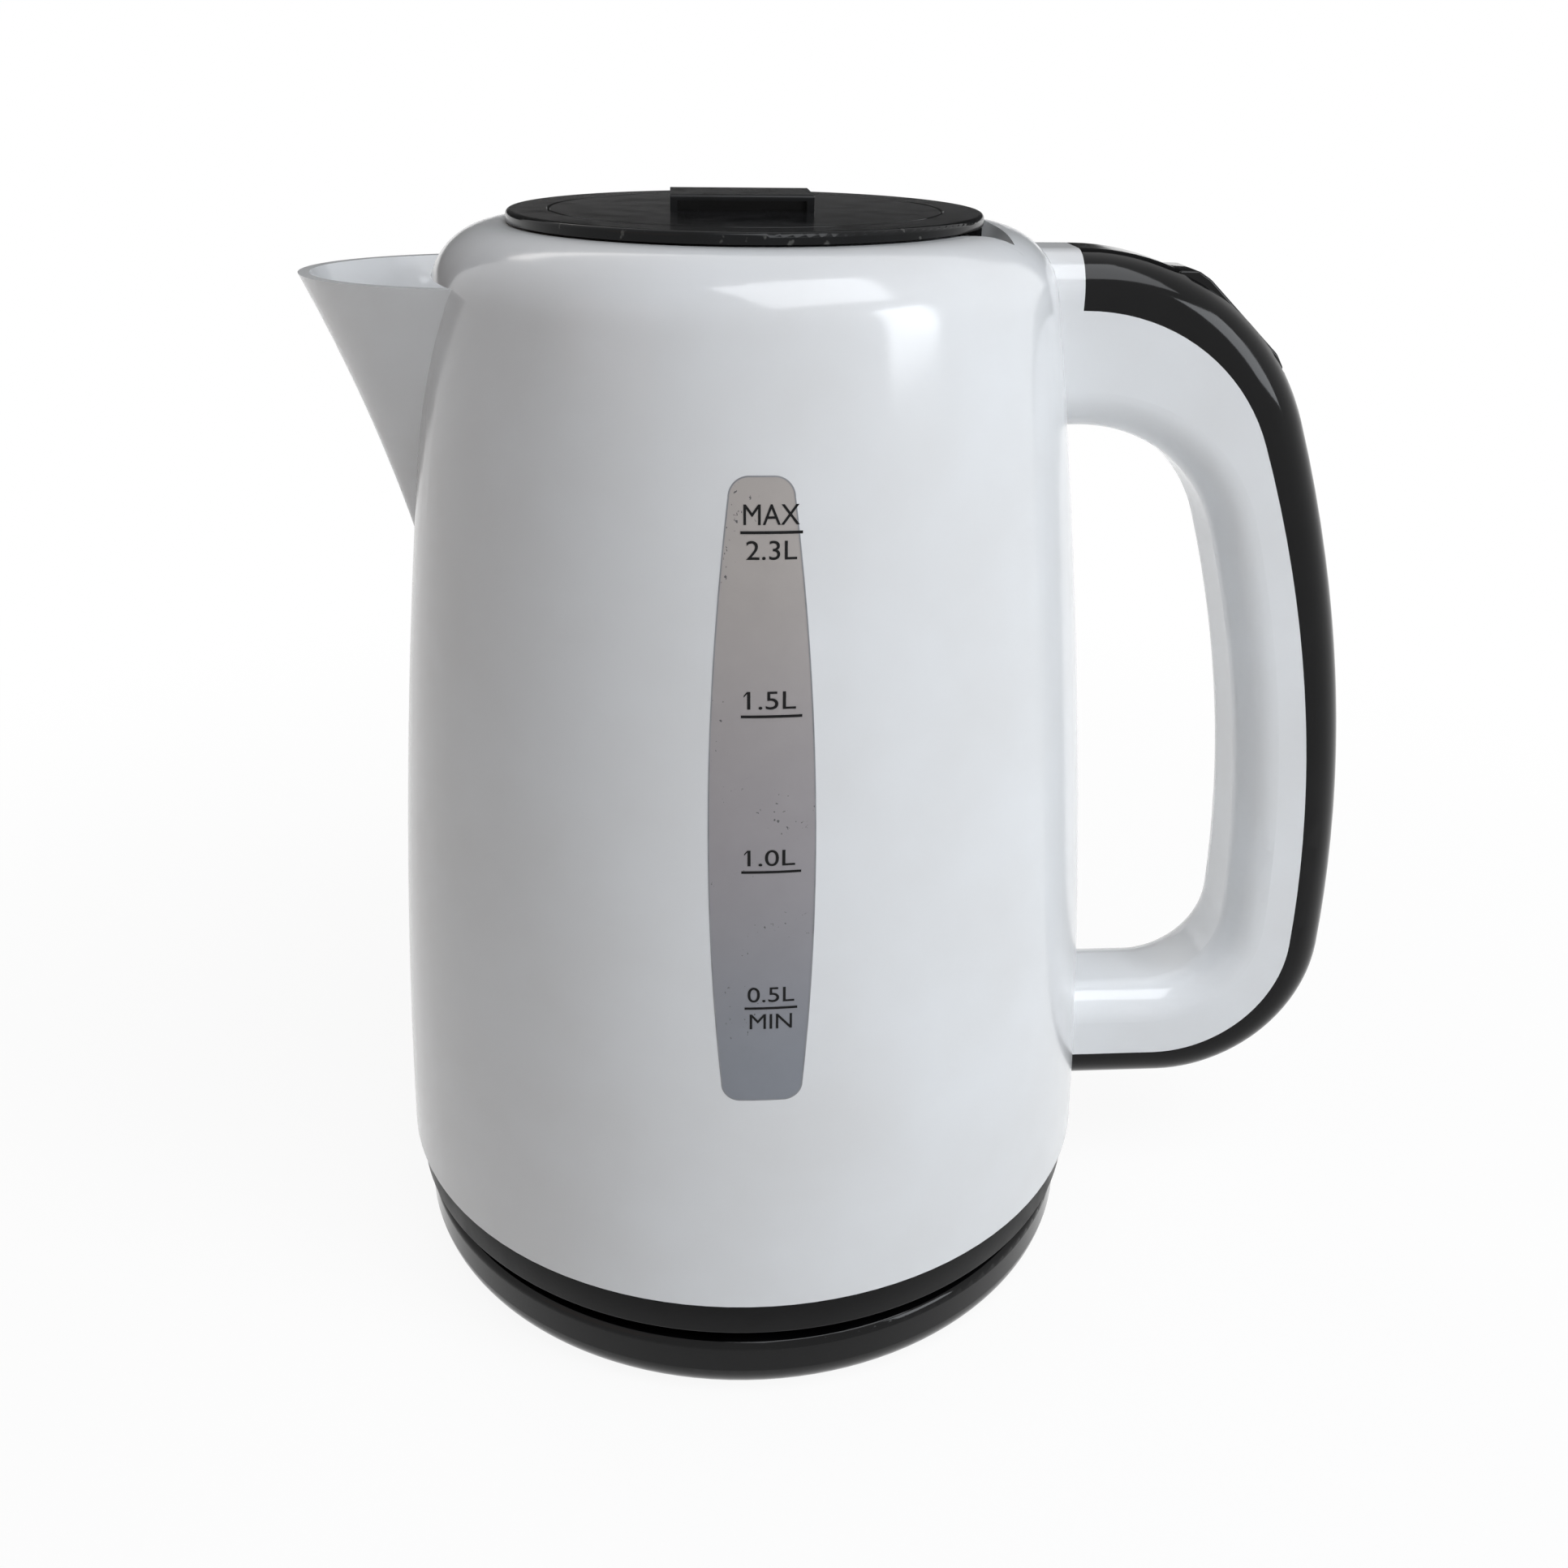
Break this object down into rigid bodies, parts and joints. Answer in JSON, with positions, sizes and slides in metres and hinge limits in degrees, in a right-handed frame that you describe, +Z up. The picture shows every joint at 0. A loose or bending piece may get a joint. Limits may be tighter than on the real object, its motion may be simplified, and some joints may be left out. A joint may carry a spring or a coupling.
{
  "type": "electric kettle",
  "caption": "Cordless electric kettle: tapered white jug with spout, gauge window, hinged lid and loop handle with rocker switch, on a round power base.",
  "frame": {"origin": "on the table, on the axis of the jug and its power base", "axes": "+Z up, +X to the handle, -X to the spout, -Y to the gauge window"},
  "size_m": [0.232, 0.1666, 0.2422],
  "materials": {
    "white_plastic": "glossy moulded polypropylene",
    "black_gloss": "high gloss moulded plastic",
    "black_satin": "fine satin moulded plastic",
    "frosted_window": "frosted grey translucent plastic",
    "grey_plastic": "plain moulded plastic",
    "steel": "brushed stainless steel",
    "aluminium": "cast and drawn",
    "brass": "stamped",
    "silicone": "moulded silicone",
    "rubber": "matt rubber",
    "wire_sleeve": "woven glass sleeve"
  },
  "bodies": {
    "power_base": {"base_top": "black_gloss", "base_plate": "black_satin", "base_socket": "black_satin", "socket_contacts": "brass", "cord_gland": "black_satin", "foot_ring": "rubber", "base_screws": "steel"},
    "swivel": {"shutter_ring": "black_satin"},
    "jug": {"body_shell": "white_plastic", "gauge_window": "frosted_window", "spout_filter": "grey_plastic", "filter_mesh": "steel", "heating_plate": "steel", "plate_seal": "silicone", "heat_spreader": "aluminium", "heating_element": "aluminium", "clamp_ring": "steel", "clamp_screws": "steel", "control_unit": "black_satin", "control_screws": "steel", "jug_plug": "black_satin", "plug_ring": "brass", "plug_pin": "brass", "bottom_cover": "black_satin", "cover_screws": "steel", "handle_grip": "white_plastic", "handle_cover": "black_gloss", "handle_screw": "steel", "switch_housing": "black_satin", "switch_pin": "steel", "steam_bimetal": "steel", "switch_contacts": "brass", "switch_wires": "wire_sleeve", "lid_hinge_pin": "steel"},
    "lid": {"lid_top": "black_gloss", "lid_inner": "black_satin", "lid_screws": "steel"},
    "rocker": {"switch_rocker": "black_gloss"}
  },
  "joints": [
    {"name": "base_swivel", "type": "hinge", "parent": "power_base", "child": "swivel", "pos_m": [0, 0, 0], "axis": [0, 0, 1], "continuous": true},
    {"name": "jug_lift", "type": "slide", "parent": "swivel", "child": "jug", "axis": [0, 0, 1], "range_m": [0, 0.1]},
    {"name": "lid_hinge", "type": "hinge", "parent": "jug", "child": "lid", "pos_m": [0.042, 0, 0.2346], "axis": [0, 1, 0], "range_deg": [0, 95]},
    {"name": "switch_rock", "type": "hinge", "parent": "jug", "child": "rocker", "pos_m": [0.0975, 0, 0.2153], "axis": [0, 1, 0], "range_deg": [-9, 0]}
  ]
}
